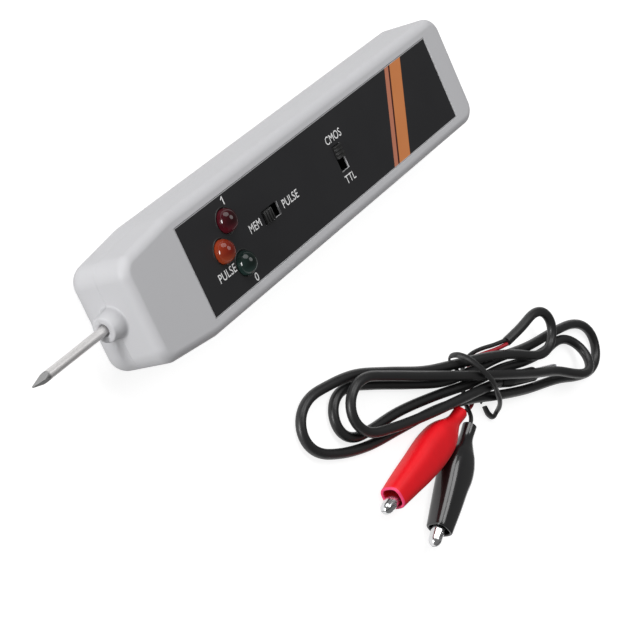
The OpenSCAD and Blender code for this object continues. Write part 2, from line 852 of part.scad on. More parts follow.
// round or oval tube through a list of points: rx (a number, or one for each point) is across and ry
// along the frame carried down the path
module tube(path, rx, ry, n) {
  m = len(path);
  dirs = [for (i = [0 : m - 1]) unit(path[min(i + 1, m - 1)] - path[max(i - 1, 0)])];
  ups = carry(dirs, 0, abs(dirs[0][2]) > 0.9 ? [1, 0, 0] : [0, 0, 1]);
  skin([for (i = [0 : m - 1]) [for (k = [0 : n - 1])
    let(a = k * 360 / n, s = cross(dirs[i], ups[i]), t = is_list(rx) ? rx[i] : rx)
      path[i] + t * cos(a) * ups[i] + ry * sin(a) * s]]);
}

// closed solid through rings that have as many points as each other
module skin(rings) {
  m = len(rings);
  n = len(rings[0]);
  side = [for (i = [0 : m - 2], k = [0 : n - 1], h = [0, 1])
    let(a = i * n + k, b = i * n + (k + 1) % n) h == 0 ? [a, b + n, b] : [a, a + n, b + n]];
  polyhedron([for (r = rings, p = r) p], concat(side, [[for (k = [0 : n - 1]) k]],
    [[for (k = [n - 1 : -1 : 0]) (m - 1) * n + k]]));
}

function carry(dirs, i, up) = i == len(dirs) ? [] :
  let(v = unit(up - (up * dirs[i]) * dirs[i])) concat([v], carry(dirs, i + 1, v));

upper_shell();
lower_shell();
face_panel();
high_lamp();
pulse_lamp();
low_lamp();
lamp_legs();
mode_knob();
mode_frame();
mode_base();
mode_pins();
family_knob();
family_frame();
family_base();
family_pins();
circuit_board();
gate_chip();
comparator_chip();
chip_pins();
resistors();
resistor_leads();
capacitor();
transistors();
transistor_legs();
needle();
ferrule();
needle_wire();
power_socket();
socket_lugs();
lead_cable();
red_wire();
black_wire();
lead_tie();
plug_grip();
plug_pin();
red_boot();
red_fixed_jaw();
red_moving_jaw();
red_pivot();
red_spring();
black_boot();
black_fixed_jaw();
black_moving_jaw();
black_pivot();
black_spring();
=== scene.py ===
import json
import math

import bmesh
import bpy
import numpy as np
from mathutils import Matrix, Vector

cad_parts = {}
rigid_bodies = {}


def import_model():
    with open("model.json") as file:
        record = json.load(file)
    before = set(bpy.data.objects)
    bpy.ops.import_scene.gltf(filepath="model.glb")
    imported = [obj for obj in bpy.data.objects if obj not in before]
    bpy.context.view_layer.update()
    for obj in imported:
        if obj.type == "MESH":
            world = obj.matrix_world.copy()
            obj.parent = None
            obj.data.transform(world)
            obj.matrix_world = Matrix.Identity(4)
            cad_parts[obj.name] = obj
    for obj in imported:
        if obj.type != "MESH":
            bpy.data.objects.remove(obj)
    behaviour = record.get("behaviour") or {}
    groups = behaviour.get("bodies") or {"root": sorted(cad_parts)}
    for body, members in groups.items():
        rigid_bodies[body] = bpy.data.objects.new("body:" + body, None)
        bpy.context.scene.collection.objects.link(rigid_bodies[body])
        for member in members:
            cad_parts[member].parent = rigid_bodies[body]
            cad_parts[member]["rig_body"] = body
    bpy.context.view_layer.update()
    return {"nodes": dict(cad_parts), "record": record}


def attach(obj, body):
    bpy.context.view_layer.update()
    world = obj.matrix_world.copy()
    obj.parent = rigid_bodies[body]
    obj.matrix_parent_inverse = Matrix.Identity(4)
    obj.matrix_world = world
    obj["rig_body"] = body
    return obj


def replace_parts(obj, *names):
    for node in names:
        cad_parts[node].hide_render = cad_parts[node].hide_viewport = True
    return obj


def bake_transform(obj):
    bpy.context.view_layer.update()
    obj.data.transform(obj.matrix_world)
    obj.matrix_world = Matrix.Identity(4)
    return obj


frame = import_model()
nodes = frame["nodes"]
slots = {row["node"]: row["material_slot"] for row in frame["record"]["subparts"]}
scene = bpy.context.scene
MM = 0.001

# sizes in millimetres, the main ones as in the part's source
CASE_TOP, SEAM_Z, WALL = 15.3, 7.65, 1.6
REAR_Y, NOSE_Y, TAPER_Y, TIP_Y = 73.65, -48.95, -32.65, -73.65
CASE_HALF, NOSE_HALF = 12.7, 10.8
CASE_PLAN = [
    (CASE_HALF, REAR_Y), (-CASE_HALF, REAR_Y), (-CASE_HALF, TAPER_Y),
    (-NOSE_HALF, NOSE_Y), (NOSE_HALF, NOSE_Y), (CASE_HALF, TAPER_Y)]
CORNER_R, TOP_R, BOTTOM_R, SEAM = 4.0, 2.0, 3.4, 0.045
ROOF_Z, TONGUE, TONGUE_WALL, TONGUE_PLAY = 13.1, 0.8, 0.7, 0.1
PANEL_Y0, PANEL_Y1, PANEL_HALF, PANEL_TOP = -31.75, 66.05, 9.55, 15.2
RECESS, RECESS_PLAY, LIP_R = 0.6, 0.1, 0.12
LAMPS = {"high_lamp": (-4.6, -17.75), "pulse_lamp": (0.0, -22.05), "low_lamp": (4.6, -17.75)}
LAMP_R, LAMP_TOP, LAMP_Z, LAMP_PLAY = 2.45, 17.7, 9.1, 0.15
FLANGE_R, FLANGE_H = 0.45, 1.0
RIM_R, RIM_HALF_W, RIM_HALF_H, RIM_SUNK = 2.78, 0.14, 0.1, 0.03
MODE_WINDOW, FAMILY_WINDOW = (0.0, -4.55, 2.9, 5.7), (0.0, 22.55, 5.7, 2.9)
JACK_R, NEEDLE_HOLE_R, CUT_PAST, DRILL_SIDES = 3.05, 1.0, 5, 48
EDGE_R, WELD, CAD_WELD = 0.12, 0.0005, 0.002

# the routes of the lead, its wires and its strap, as in the part's source
LEAD = [
    [65, 66.2, 3.1], [64.3, 72.7, 4.7], [63.6, 77.1, 5.4], [64.8, 80.6, 5.6], [67.6, 82.4, 5.5],
    [70.7, 82.2, 5.1], [73.1, 80.1, 4.7], [73.9, 76.7, 4.4], [72.4, 72.6, 4.2], [68.6, 66.3, 4.3],
    [63.8, 56.3, 4.4], [60.1, 46.6, 3], [56.1, 36.2, 2.1], [49.2, 22.9, 2.2], [44, 12, 2.3],
    [42, 3.4, 1.9], [41.4, -2.3, 1.5], [42.7, -6.2, 1.3], [45.4, -8.4, 1.2], [49, -8.6, 1.2],
    [52.3, -6.4, 1.2], [55.2, -1.8, 1.3], [58.8, 7, 1.3], [61.9, 20.5, 1.3], [65.2, 35.1, 1.5],
    [68.5, 44.9, 2.4], [72.9, 54.5, 2.85], [78.4, 67.5, 1.6], [83.4, 81.9, 1.3], [87.3, 90.7, 1.3],
    [88.6, 95.6, 1.3], [87.8, 99.4, 1.3], [85.2, 101.7, 1.3], [81.8, 102.2, 1.3], [78.5, 100.4, 1.3],
    [76, 96.6, 1.3], [73.8, 89.4, 1.5], [70.9, 75.3, 1.5], [66.8, 61.5, 1.8], [63.7, 49.4, 2.9],
    [60.7, 39.1, 2.3], [55.7, 29.4, 1.4], [48.9, 16.9, 1.2], [45.9, 10.5, 1.2], [45.4, 6.4, 1.2],
    [47, 3.3, 1.2], [49.9, 2, 1.2], [53.2, 2.7, 1.2], [55.6, 5.6, 1.2], [56.8, 10.5, 1.2],
    [58.3, 20.5, 1.3], [62.1, 35.2, 1.6], [66.1, 48.4, 2.8], [69.1, 60.5, 2.4], [73.3, 72.8, 1.7],
    [75.3, 82.1, 1.6], [76, 88, 1.2], [77.7, 91.7, 1.4], [80.4, 93.4, 2.4], [83.3, 93.1, 3.8],
    [85.3, 90.9, 5.1], [85.5, 87.4, 5.8], [83.6, 83.6, 5.6], [79.9, 78.5, 4.9], [75.7, 69.8, 5.1],
    [68.8, 56.3, 5.6], [61.5, 42.8, 5.1], [54.1, 29.4, 4.4], [48.1, 18.5, 4.5], [45.5, 13.3, 4.6],
    [45.2, 9.2, 4.5], [46.9, 6.2, 4.2], [50, 4.8, 3.9], [53.4, 5.5, 3.8], [56.3, 8.3, 3.7],
    [58.5, 13.7, 3.8], [62.5, 26.3, 3.9], [66.1, 40.8, 4.8], [68.5, 49.9, 4.7], [71.7, 59, 1.9]]
RED_WIRE = [
    [65.5, 66, 3.1], [64.9, 62.5, 2.2], [63.9, 58.8, 1.2], [63.2, 55.5, 0.7], [63.8, 52.8, 0.52],
    [66, 51, 0.52], [69, 50, 0.52], [71.2, 48.2, 0.52], [71.4, 45.9, 0.52], [70.7, 43.7, 0.65],
    [69.8, 41.9, 1.7], [69.1, 40.5, 2.95]]
BLACK_WIRE = [
    [64.5, 66, 3.1], [63.7, 62.5, 2.2], [62.5, 58.5, 1.1], [61.9, 55, 0.6], [62.3, 51.5, 0.52],
    [64, 49, 0.52], [66.5, 47.6, 0.52], [69, 45.9, 0.6], [70.6, 44.6, 1.6], [71.9, 43.1, 2.75],
    [72.7, 41.6, 3.2]]
STRAP = [
    [72.4, 50.7, 1.28], [70.6, 50.2, 1.28], [67.6, 49.3, 1.28], [64.2, 48.1, 1.26], [60.6, 46.7, 1.2],
    [58.7, 45.8, 1.45], [57.6, 45.5, 2.4], [57.5, 45.6, 3.9], [58.6, 46.1, 5.6], [61.4, 47.3, 6.9],
    [64.8, 48.7, 7.4], [67.8, 50.2, 7.1], [70.6, 51.6, 5.8], [73.3, 53, 4.6], [75.6, 54.1, 2.8],
    [76.9, 54.3, 1.3], [77.5, 53.1, 0.8], [76.2, 51.8, 0.9], [73.6, 51, 1.25]]
LEAD_R, WIRE_R = 1.15, 0.5
# half the strap's thickness and half its width at each point of its route
STRAP_HALVES = [(0.2, 0.6)] * 6 + [(0.34, 0.9)] * 6 + [(0.55, 1.0)] * 3 + [(0.5, 0.72)] * 3 + [(0.2, 0.6)]
CLIP_Z, JAW_X, HANDLE_X, CRIMP = 3.3, 14.5, -8.5, 3.2
# tail, direction, length and the side of the moving jaw
CLIPS = {
    "red": ((68.9, 39.2), (0.083, -0.99655), 37.4, -1),
    "black": ((73.1, 40.3), (0.436, -0.89996), 31.5, 1)}


# finishes

# the colour sockets of a Mix node
MIX_FIRST, MIX_SECOND, MIX_RESULT = 6, 7, 2


class Value:
    """A shader socket in an expression, where each operator adds a Math node."""

    def __init__(self, finish, socket):
        self.finish = finish
        self.socket = socket

    def math(self, operation, *terms):
        """A Math node on values or numbers."""
        return self.finish.node("Math", {"operation": operation}, dict(enumerate(terms)))

    def __add__(self, other):
        return self.math("ADD", self, other)

    def __sub__(self, other):
        return self.math("SUBTRACT", self, other)

    def __rsub__(self, other):
        return self.math("SUBTRACT", other, self)

    def __mul__(self, other):
        return self.math("MULTIPLY", self, other)

    def __or__(self, other):
        """The larger of the two."""
        return self.math("MAXIMUM", self, other)

    def __abs__(self):
        return self.math("ABSOLUTE", self)

    __radd__ = __add__
    __rmul__ = __mul__
    __ror__ = __or__

    def above(self, edge, soft):
        """0 below an edge and 1 above it, smooth over soft to each side."""
        ends = {"From Min": edge - soft, "From Max": edge + soft}
        return self.finish.node("MapRange", {"interpolation_type": "SMOOTHSTEP"}, {"Value": self, **ends})

    def within(self, low, high, soft):
        """1 between two edges and 0 outside them."""
        return self.above(low, soft) - self.above(high, soft)


class Finish:
    """A Principled material whose patterns are laid out in the part's millimetres."""

    def __init__(self, name, color, rough, metallic=0.0, **constants):
        self.material = bpy.data.materials.new(name)
        self.material.use_nodes = True
        self.tree = self.material.node_tree
        self.shader = self.tree.nodes["Principled BSDF"]
        self.color = color
        self.set("Base Color", color)
        self.set("Roughness", rough)
        self.set("Metallic", metallic)
        for label, value in constants.items():
            self.set(label.replace("_", " "), value)
        place = self.node("TexCoord", {}, {}, "Object")
        self.place = self.node("VectorMath", {"operation": "SCALE"}, {0: place, "Scale": 1 / MM})
        self.x, self.y, self.z = (self.node("SeparateXYZ", {}, {0: self.place}, axis) for axis in "XYZ")

    def node(self, kind, settings, sockets, output=0):
        """Any node: its settings first, then the values or links of its sockets."""
        made = self.tree.nodes.new("ShaderNode" + kind)
        for label, value in settings.items():
            setattr(made, label, value)
        for label, value in sockets.items():
            self.feed(made.inputs[label], value)
        return Value(self, made.outputs[output])

    def feed(self, socket, value):
        """Links a value to a socket, or sets a number, colour or vector on it."""
        if isinstance(value, Value):
            self.tree.links.new(value.socket, socket)
        elif socket.type == "RGBA":
            socket.default_value = tuple(value) + (1.0,)
        else:
            socket.default_value = value

    def set(self, label, value):
        """Feeds one of the shader's own sockets."""
        self.feed(self.shader.inputs[label], value)

    def noise(self, size, detail=3.0, stretch=(1, 1, 1)):
        """Noise from 0 to 1 with features about size millimetres across."""
        cells = [1 / (size * s) for s in stretch]
        place = self.node("VectorMath", {"operation": "MULTIPLY"}, {0: self.place, 1: cells})
        return self.node("TexNoise", {}, {"Vector": place, "Scale": 1.0, "Detail": detail, "Roughness": 0.55})

    def mix(self, share, first, second):
        """The first colour where share is 0 and the second where it is 1."""
        sockets = {0: share, MIX_FIRST: first, MIX_SECOND: second}
        return self.node("Mix", {"data_type": "RGBA"}, sockets, MIX_RESULT)

    def mottled(self, size, amount, stretch=(1, 1, 1)):
        """The finish's own colour, darker and lighter by a share of itself."""
        dark = [c * (1 - amount) for c in self.color]
        light = [min(1, c * (1 + amount)) for c in self.color]
        return self.mix(self.noise(size, 4.0, stretch), dark, light)

    def bump(self, height, depth):
        """Relief from a height of 0 to 1, depth in millimetres."""
        sockets = {"Strength": 1.0, "Distance": depth * MM, "Height": height}
        self.set("Normal", self.node("Bump", {}, sockets))


def well_shade_mask(f):
    """Mask of painted shade: 1 under the panel's two switch windows, where the walls lie in the dark, and 0
    elsewhere.
    """
    found = 0.0
    for cx, cy, wide, long in (MODE_WINDOW, FAMILY_WINDOW):
        outside = abs(f.x - cx) - wide / 2 | abs(f.y - cy) - long / 2
        found = 1 - outside.above(0.06, 0.02) | found
    return found * f.z.within(SEAM_Z + 0.5, PANEL_TOP - 0.48, 0.02)


def case_plastic():
    """Moulded grey plastic with a fine spark-eroded grain, and painted shade, near black, on the walls under
    the switch windows.
    """
    f = Finish("case_plastic", (0.50, 0.50, 0.515), 0.5, Specular_IOR_Level=0.4)
    # painted shade: the case walls under the switch windows near black
    f.set("Base Color", f.mix(well_shade_mask(f), f.mottled(22, 0.025), (0.006, 0.006, 0.006)))
    grain = f.noise(0.35, 2.0)
    f.set("Roughness", 0.40 + 0.14 * grain + 0.08 * f.noise(9))
    f.bump(grain, 0.012)
    return f.material


def panel_print():
    """Black printed plate with a slanting orange stripe and a bare, bright edge."""
    f = Finish("panel_print", (0.016, 0.016, 0.018), 0.42, Specular_IOR_Level=0.22)
    color = f.mix(f.noise(14), (0.0145, 0.0145, 0.016), (0.021, 0.021, 0.0225))
    orange = f.mix(f.noise(6), (0.55, 0.19, 0.062), (0.61, 0.225, 0.08))
    across_stripe = 0.5585 * f.x + f.y
    for start, end, painted_color in (
            (43.3, 44.9, (0.47, 0.175, 0.105)), (44.9, 45.5, (0.045, 0.008, 0.006)), (45.5, 50.1, orange)):
        color = f.mix(across_stripe.within(start, end, 0.06), color, painted_color)
    from_middle = abs(f.y - (PANEL_Y0 + PANEL_Y1) / 2)
    rim = abs(f.x).above(PANEL_HALF - 0.13, 0.03) | from_middle.above((PANEL_Y1 - PANEL_Y0) / 2 - 0.13, 0.03)
    normal = f.node("NewGeometry", {}, {}, "True Normal")
    facing_up = f.node("SeparateXYZ", {}, {0: normal}, "Z").above(0.5, 0.1)
    f.set("Base Color", f.mix(rim | 1 - facing_up, color, (0.5, 0.5, 0.51)))
    grain = f.noise(0.22, 2.0)
    f.set("Roughness", 0.36 + 0.12 * grain)
    f.bump(grain, 0.006)
    return f.material


def lamp_lens(name, color, painted_glow, lamp):
    """Clear tinted plastic, darker at the top of the dome, with painted light: its lower part and the side
    turned from the key light are coloured lighter, as if light gathered there.
    """
    f = Finish(name, color, 0.07, Coat_Weight=0.04, Coat_Roughness=0.05, Specular_IOR_Level=0.3)
    # painted light: the lower part of the dome halfway to the glowing colour
    painted_glow_foot = [(a + b) / 2 for a, b in zip(color, painted_glow)]
    tint_with_glow = f.mix(f.z.above(LAMP_TOP - 1.2, 1.4), painted_glow_foot, color)
    # painted light: the side turned from the key light in the glowing colour
    painted_glow_side = (f.x - LAMPS[lamp][0]).above(0.45 * LAMP_R, 0.4 * LAMP_R)
    f.set("Base Color", f.mix(painted_glow_side, tint_with_glow, painted_glow))
    f.set("Roughness", 0.07 + 0.05 * f.noise(1.5, 2.0))
    return f.material


def soft_vinyl(name, color, rough, coat, gloss=0.12, specular=0.5, mouth=None):
    """Soft plastic. The red sleeve's mouth is a lighter pink, a painted highlight on its rounded lip."""
    f = Finish(name, color, rough, Coat_Weight=coat, Coat_Roughness=gloss, Specular_IOR_Level=specular)
    shade = f.mottled(3.5, 0.10)
    if mouth:
        tail, way, length, _ = CLIPS["red"]
        along = way[0] * (f.x - tail[0]) + way[1] * (f.y - tail[1]) + (JAW_X - length)
        # painted highlight: the mouth's rounded lip a lighter pink
        shade = f.mix(along.above(9.85, 0.12), shade, mouth)
    f.set("Base Color", shade)
    f.set("Roughness", rough - 0.06 + 0.12 * f.noise(1.1))
    f.bump(f.noise(0.5), 0.05 * gloss)
    return f.material


def drawn_metal(name, color, rough, streak=(1, 1, 1), depth=0.004, metallic=1.0, dark=None):
    """Metal with fine drawing lines. Dark gives a mask of a place and the colour of the painted shade laid
    there.
    """
    f = Finish(name, color, rough, metallic)
    shade = f.mottled(2.0, 0.06, streak)
    if dark:
        # dark holds the mask and the colour of painted shade
        where, painted_color = dark
        shade = f.mix(where(f), shade, painted_color)
    f.set("Base Color", shade)
    lines = f.noise(0.25, 4.0, streak)
    f.set("Roughness", rough - 0.06 + 0.16 * lines)
    f.bump(lines, depth)
    return f.material


def ground_point(f):
    """1 on the needle's ground point, which gets painted shade, and 0 on its shank."""
    return 1 - f.y.above(TIP_Y + 4.3, 0.3)


def moulding(name, color, rough, dark=None):
    """Hard moulded plastic or resin. Dark gives a mask of a place and the colour of the painted shade laid
    there.
    """
    f = Finish(name, color, rough)
    shade = f.mottled(2.5, 0.12)
    if dark:
        # dark holds the mask and the colour of painted shade
        where, painted_color = dark
        shade = f.mix(where(f), shade, painted_color)
    f.set("Base Color", shade)
    f.set("Roughness", rough - 0.1 + 0.2 * f.noise(0.4, 2.0))
    f.bump(f.noise(0.2, 2.0), 0.006)
    return f.material


def board_laminate():
    """Green lacquered board with copper tracks under the lacquer."""
    f = Finish("board_laminate", (0.03, 0.16, 0.07), 0.35)
    pitch = f.node("Math", {"operation": "FRACT"}, {0: 0.8 * f.x})
    tracks = pitch.within(0.3, 0.7, 0.05) * f.noise(3.0, 0.0).above(0.5, 0.02)
    f.set("Base Color", f.mix(tracks, (0.02, 0.13, 0.055), (0.04, 0.22, 0.09)))
    f.bump(tracks, 0.03)
    return f.material


def white_print():
    """Screen-printed ink of the panel's words."""
    f = Finish("white_print", (0.8, 0.8, 0.8), 0.5)
    f.set("Base Color", f.mottled(0.5, 0.06))
    return f.material


# mask and near-black colour of the painted shade under the switch windows
PAINTED_WELL_SHADE = (well_shade_mask, (0.004, 0.004, 0.004))
FINISHES = {
    "case_grey": case_plastic(),
    "panel_black": panel_print(),
    # each lens: its own colour and its painted glowing colour
    "lens_red": lamp_lens("lens_red", (0.016, 0.001, 0.002), (0.1, 0.009, 0.017), "high_lamp"),
    "lens_amber": lamp_lens("lens_amber", (0.13, 0.009, 0.003), (0.36, 0.06, 0.02), "pulse_lamp"),
    "lens_green": lamp_lens("lens_green", (0.0035, 0.008, 0.0065), (0.022, 0.045, 0.04), "low_lamp"),
    "tinned_wire": drawn_metal("tinned_wire", (0.72, 0.72, 0.73), 0.3),
    "knob_black": moulding("knob_black", (0.012, 0.012, 0.012), 0.42),
    # the switch frames and their holder get the painted shade under the windows
    "plated_steel": drawn_metal("plated_steel", (0.68, 0.68, 0.70), 0.25, dark=PAINTED_WELL_SHADE),
    "phenolic_brown": moulding("phenolic_brown", (0.2, 0.1, 0.04), 0.5, dark=PAINTED_WELL_SHADE),
    "board_green": board_laminate(),
    "chip_black": moulding("chip_black", (0.014, 0.014, 0.015), 0.5),
    "resistor_tan": moulding("resistor_tan", (0.48, 0.34, 0.2), 0.4),
    "capacitor_blue": moulding("capacitor_blue", (0.02, 0.035, 0.16), 0.3),
    # painted shade: the ground point darker, standing in for the dark facet of its point
    "needle_steel": drawn_metal(
        "needle_steel", (0.6, 0.59, 0.585), 0.44, streak=(1, 0.25, 1), depth=0.003, metallic=0.7,
        dark=(ground_point, (0.19, 0.19, 0.19))),
    "ferrule_brass": drawn_metal("ferrule_brass", (0.72, 0.5, 0.22), 0.3),
    "cable_black": soft_vinyl("cable_black", (0.0095, 0.0095, 0.01), 0.42, 0.04),
    "wire_red": soft_vinyl("wire_red", (0.42, 0.012, 0.025), 0.38, 0.15),
    "clip_chrome": drawn_metal("clip_chrome", (0.66, 0.66, 0.67), 0.17, depth=0.002),
    # the red sleeve's mouth colour is a painted highlight on its rounded lip
    "boot_red": soft_vinyl(
        "boot_red", (0.8, 0.005, 0.012), 0.46, 0.08, specular=0.3, mouth=(0.85, 0.06, 0.17)),
    "boot_black": soft_vinyl("boot_black", (0.0075, 0.0075, 0.008), 0.24, 0.6, gloss=0.05)}

for name, obj in nodes.items():
    obj.data.materials.clear()
    obj.data.materials.append(FINISHES[slots[name]])


# mesh helpers

def object_of(name, bm):
    """A new object from a bmesh in millimetres, which is used up."""
    mesh = bpy.data.meshes.new(name)
    bm.to_mesh(mesh)
    bm.free()
    mesh.transform(Matrix.Scale(MM, 4))
    obj = bpy.data.objects.new(name, mesh)
    scene.collection.objects.link(obj)
    return obj


def piece(name, bm, slot, body="probe", sharp=30, weighted=False):
    """A finished piece: doubles merged, faces outwards, smooth up to an angle, with its material and body."""
    bmesh.ops.remove_doubles(bm, verts=bm.verts, dist=WELD)
    bmesh.ops.recalc_face_normals(bm, faces=bm.faces)
    obj = object_of(name, bm)
    obj.data.polygons.foreach_set("use_smooth", [True] * len(obj.data.polygons))
    obj.data.set_sharp_from_angle(angle=math.radians(sharp))
    obj.data.materials.append(FINISHES[slot])
    if weighted:
        obj.modifiers.new("normals", "WEIGHTED_NORMAL").keep_sharp = True
    if body:
        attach(obj, body)
    return obj


def edges_of(verts):
    """The edges at these vertices, each once."""
    return list(dict.fromkeys(edge for vert in verts for edge in vert.link_edges))


def lofted(bm, rings):
    """A circle of edges, extruded from ring to ring. Returns its first and last vertices in order."""
    loop = bmesh.ops.create_circle(bm, segments=len(rings[0]), radius=1)["verts"]
    edges = edges_of(loop)
    first = loop
    for vert, point in zip(loop, rings[0]):
        vert.co = point
    for ring in rings[1:]:
        made = bmesh.ops.extrude_edge_only(bm, edges=edges)["geom"]
        fresh = {g for g in made if isinstance(g, bmesh.types.BMVert)}
        loop = [next(e.other_vert(v) for e in v.link_edges if e.other_vert(v) in fresh) for v in loop]
        edges = [e for e in made if isinstance(e, bmesh.types.BMEdge) and set(e.verts) <= fresh]
        for vert, point in zip(loop, ring):
            vert.co = point
    return first, loop


def spun(bm, verts, edges, centre, steps=64):
    """A full turn about an upright axis."""
    bmesh.ops.spin(
        bm, geom=verts + edges, cent=(*centre, 0), axis=(0, 0, 1), angle=2 * math.pi, steps=steps,
        use_merge=True)


def pulled(bm, face, rise):
    """Extrudes a face up or down and returns its moved copy."""
    made = bmesh.ops.extrude_face_region(bm, geom=[face] + face.edges[:] + face.verts[:])["geom"]
    face = next(g for g in made if isinstance(g, bmesh.types.BMFace))
    bmesh.ops.translate(bm, vec=(0, 0, rise), verts=face.verts)
    return face


def rounded(bm, edges, radius, segments):
    """Rounds edges by an arc of a few segments."""
    bmesh.ops.bevel(
        bm, geom=edges, offset=radius, offset_type="OFFSET", affect="EDGES", segments=segments, profile=0.5,
        material=-1, clamp_overlap=False)


def merged_copy(node):
    """A copy of a CAD node's mesh in millimetres, its loose triangles merged into faces."""
    bm = bmesh.new()
    bm.from_mesh(nodes[node].data)
    bmesh.ops.scale(bm, vec=(1 / MM, 1 / MM, 1 / MM), verts=bm.verts)
    bmesh.ops.remove_doubles(bm, verts=bm.verts, dist=CAD_WELD)
    return bm


def refined(node):
    """A CAD node's shape with its edges rounded, in that node's place."""
    bm = merged_copy(node)
    bmesh.ops.dissolve_limit(bm, angle_limit=math.radians(1), verts=bm.verts, edges=bm.edges)
    obj = piece(node + "_fine", bm, slots[node], body=nodes[node]["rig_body"], sharp=35)
    edges = obj.modifiers.new("edges", "BEVEL")
    edges.width = EDGE_R * MM
    edges.segments = 2
    edges.limit_method = "ANGLE"
    edges.angle_limit = math.radians(30)
    obj.modifiers.new("normals", "WEIGHTED_NORMAL").keep_sharp = False
    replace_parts(obj, node)
    return obj


# curves

# how far a tube's ends are drawn in, and how far its start stands out
END_SHARE, END_STEP = 0.86, 0.02
# steps to a span of a route, the cords' even steps in millimetres and how often their bends are evened out
SPAN_STEPS, LEAD_STEP, WIRE_STEP, EASE_PASSES = 8, 0.9, 0.4, 6


def spline(points, steps):
    """Smooth curve through unevenly spaced points, with a number of steps to each span."""
    p = np.array(points, float)
    span = np.linalg.norm(np.diff(p, axis=0), axis=1)[:, None]
    way = np.diff(p, axis=0) / span
    inner = (way[1:] * span[:-1] + way[:-1] * span[1:]) / (span[:-1] + span[1:])
    slope = np.vstack([way[:1], inner, way[-1:]])
    t = np.linspace(0, 1, steps, endpoint=False)[:, None]
    out = []
    for i, length in enumerate(span):
        out.append(
            (2 * t**3 - 3 * t**2 + 1) * p[i] + (3 * t**2 - 2 * t**3) * p[i + 1]
            + (t**3 - 2 * t**2 + t) * length * slope[i] + (t**3 - t**2) * length * slope[i + 1])
    return np.vstack(out + [p[-1:]])


def run_of(path):
    """Distance along a path at each of its points."""
    return np.append(0, np.cumsum(np.linalg.norm(np.diff(path, axis=0), axis=1)))


def eased(path, step, passes):
    """The same curve with even steps and its bends evened out."""
    run = run_of(path)
    t = np.linspace(0, run[-1], round(run[-1] / step) + 1)
    p = np.stack([np.interp(t, run, path[:, k]) for k in range(3)], 1)
    for _ in range(passes):
        p[1:-1] = 0.25 * p[:-2] + 0.5 * p[1:-1] + 0.25 * p[2:]
    return p


def tube(name, path, half_high, half_wide, slot, sides):
    """Oval tube along a path, its frame carried from point to point, with slightly rounded ends."""
    ways = np.gradient(path, axis=0)
    ways /= np.linalg.norm(ways, axis=1)[:, None]
    turn = np.arange(sides)[:, None] * 2 * math.pi / sides
    highs = np.broadcast_to(half_high, len(path))
    wides = np.broadcast_to(half_wide, len(path))
    up = np.array([0.0, 0.0, 1.0])
    rings = []
    for point, way, high, wide in zip(path, ways, highs, wides):
        up = up - (up @ way) * way
        up /= np.linalg.norm(up)
        rings.append(point + high * np.cos(turn) * up + wide * np.sin(turn) * np.cross(way, up))
    start = path[0] + (rings[0] - path[0]) * END_SHARE - (path[1] - path[0]) * END_STEP
    end = path[-1] + (rings[-1] - path[-1]) * END_SHARE
    bm = bmesh.new()
    for loop in lofted(bm, [start] + rings + [end]):
        bm.faces.new(loop)
    return piece(name, bm, slot, sharp=50)


# the camera stands where the photograph's did
CAMERA_PLACE = (-93.296, -317.983, 287.440)
CAMERA_RIGHT = (0.40134, 0.51046, 0.76049)
CAMERA_DOWN = (0.87458, -0.46023, -0.15263)
CAMERA_AHEAD = (0.27209, 0.72637, -0.63115)
camera = bpy.data.objects.new("camera", bpy.data.cameras.new("camera"))
scene.collection.objects.link(camera)
rows = [(r, -d, -a, p * MM) for r, d, a, p in zip(CAMERA_RIGHT, CAMERA_DOWN, CAMERA_AHEAD, CAMERA_PLACE)]
camera.matrix_world = Matrix(rows + [(0, 0, 0, 1)])
camera.data.sensor_width = 36.0
camera.data.lens = 121.224
camera.data.clip_start = 0.01
camera.data.clip_end = 20.0
scene.camera = camera


# the lead, its two wires and the strap round them

def crimped(route, color):
    """A wire's path, led on through its sleeve's tail to the crimp on the clip's handle."""
    tail, way, length, _ = CLIPS[color]
    stops = (0, 2, length - JAW_X + HANDLE_X - CRIMP)
    inside = [[tail[0] + way[0] * t, tail[1] + way[1] * t, CLIP_Z] for t in stops]
    return eased(spline(route + inside, SPAN_STEPS), WIRE_STEP, EASE_PASSES)


lead_path = eased(spline(LEAD, SPAN_STEPS), LEAD_STEP, EASE_PASSES)
red_path = crimped(RED_WIRE, "red")
black_path = crimped(BLACK_WIRE, "black")
lead = tube("lead_jacket", lead_path, LEAD_R, LEAD_R, "cable_black", 24)
red = tube("red_core", red_path, WIRE_R, WIRE_R, "wire_red", 16)
black = tube("black_core", black_path, WIRE_R, WIRE_R, "cable_black", 16)
strap_path = spline(STRAP, SPAN_STEPS)
stops = np.linspace(0, len(STRAP) - 1, len(strap_path))
strap_high, strap_wide = (np.interp(stops, range(len(STRAP)), half) for half in zip(*STRAP_HALVES))
strap = tube("tie_strap", strap_path, strap_high, strap_wide, "cable_black", 20)
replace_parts(lead, "lead_cable")
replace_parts(red, "red_wire")
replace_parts(black, "black_wire")
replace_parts(strap, "lead_tie")


# the case

def plan_block(low, high):
    """The case's plan with its corners rounded, raised to a block. Returns it with its two flat faces."""
    bm = bmesh.new()
    corners = [bm.verts.new((x, y, low)) for x, y in CASE_PLAN]
    bm.faces.new(corners)
    sides = [Vector(b) - Vector(a) for a, b in zip(CASE_PLAN, CASE_PLAN[1:] + CASE_PLAN[:1])]
    for corner, side_in, side_out in zip(corners, sides[-1:] + sides[:-1], sides):
        turn = side_in.angle(side_out)
        bmesh.ops.bevel(
            bm, geom=[corner], offset=CORNER_R * math.tan(turn / 2), offset_type="OFFSET",
            affect="VERTICES", segments=max(3, round(math.degrees(turn) / 5)), profile=0.5, material=-1,
            clamp_overlap=False)
    under = next(iter(bm.faces))
    over = pulled(bm, under, high - low)
    return bm, under, over


